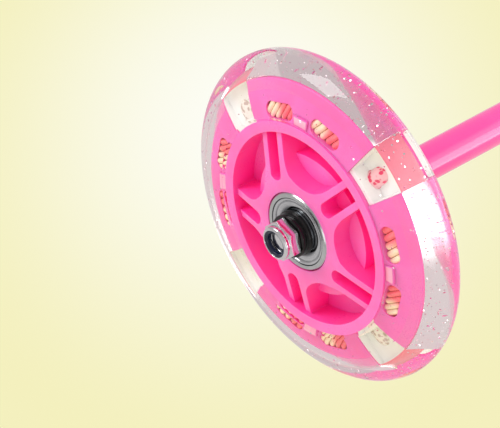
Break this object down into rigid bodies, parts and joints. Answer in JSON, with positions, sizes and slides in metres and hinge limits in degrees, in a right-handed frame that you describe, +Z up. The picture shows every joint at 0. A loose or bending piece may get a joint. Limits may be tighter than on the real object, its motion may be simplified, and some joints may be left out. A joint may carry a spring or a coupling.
{
  "type": "light-up scooter wheel with axle tube",
  "caption": "Clear light-up scooter wheel with a pink ribbed hub, ball bearings, lock nut and a pink axle tube with its long bolt",
  "frame": {"origin": "centre of the axle tube's far end face, where the scooter frame's lug is clamped", "axes": "+Y along the axle away from the wheel, the nut and wheel are towards -Y, +Z up, +X to the right seen from the nut"},
  "size_m": [0.0928, 0.1315, 0.0928],
  "materials": {
    "pink_plastic": "glossy moulding",
    "paint": "gloss paint on steel",
    "clear_urethane": "clear cast urethane with glitter",
    "clear_plastic": "clear",
    "black_plastic": "gloss",
    "plated_steel": "zinc plate",
    "bearing_steel": "ground",
    "shield_steel": "pressed",
    "nylon": "moulded",
    "copper": "enamelled wire",
    "iron": "dull",
    "board": "printed board",
    "lamp_resin": "clear resin"
  },
  "bodies": {
    "axle": {"axle_bolt": "plated_steel", "axle_tube": "paint", "bearing_spacer": "plated_steel", "bolt_washer": "plated_steel", "front_bearing_inner_ring": "bearing_steel", "rear_bearing_inner_ring": "bearing_steel", "front_bush": "black_plastic", "rear_bush": "black_plastic", "magnet_ring": "iron", "nut_body": "plated_steel", "nut_nylon_ring": "nylon"},
    "wheel": {"hub_front": "pink_plastic", "hub_rear": "pink_plastic", "tyre": "clear_urethane", "lamp_board": "board", "coil_1": "copper", "coil_2": "copper", "coil_3": "copper", "coil_4": "copper", "coil_5": "copper", "coil_6": "copper", "coil_7": "copper", "coil_8": "copper", "coil_core_1": "iron", "coil_core_2": "iron", "coil_core_3": "iron", "coil_core_4": "iron", "coil_core_5": "iron", "coil_core_6": "iron", "coil_core_7": "iron", "coil_core_8": "iron", "lamp_chip_1": "lamp_resin", "lamp_chip_2": "lamp_resin", "lamp_chip_3": "lamp_resin", "lamp_chip_4": "lamp_resin", "lamp_chip_5": "lamp_resin", "lamp_chip_6": "lamp_resin", "lamp_chip_7": "lamp_resin", "lamp_chip_8": "lamp_resin", "light_block_1": "clear_plastic", "light_block_2": "clear_plastic", "light_block_3": "clear_plastic", "light_block_4": "clear_plastic", "window_lamp_1": "lamp_resin", "window_lamp_2": "lamp_resin", "window_lamp_3": "lamp_resin", "window_lamp_4": "lamp_resin", "front_bearing_outer_ring": "bearing_steel", "front_bearing_shield_a": "shield_steel", "front_bearing_shield_b": "shield_steel", "rear_bearing_outer_ring": "bearing_steel", "rear_bearing_shield_a": "shield_steel", "rear_bearing_shield_b": "shield_steel"},
    "front_ball_cage": {"front_bearing_cage": "bearing_steel"},
    "rear_ball_cage": {"rear_bearing_cage": "bearing_steel"}
  },
  "joints": [
    {"name": "wheel_spin", "type": "hinge", "parent": "axle", "child": "wheel", "pos_m": [0, -0.1035, 0], "axis": [0, 1, 0], "continuous": true},
    {"name": "front_cage_spin", "type": "hinge", "parent": "axle", "child": "front_ball_cage", "pos_m": [0, -0.111, 0], "axis": [0, 1, 0], "continuous": true},
    {"name": "rear_cage_spin", "type": "hinge", "parent": "axle", "child": "rear_ball_cage", "pos_m": [0, -0.096, 0], "axis": [0, 1, 0], "continuous": true}
  ],
  "couplings": [
    {"joint": "front_cage_spin", "follows": "wheel_spin", "ratio": 0.63233},
    {"joint": "rear_cage_spin", "follows": "wheel_spin", "ratio": 0.63233}
  ]
}
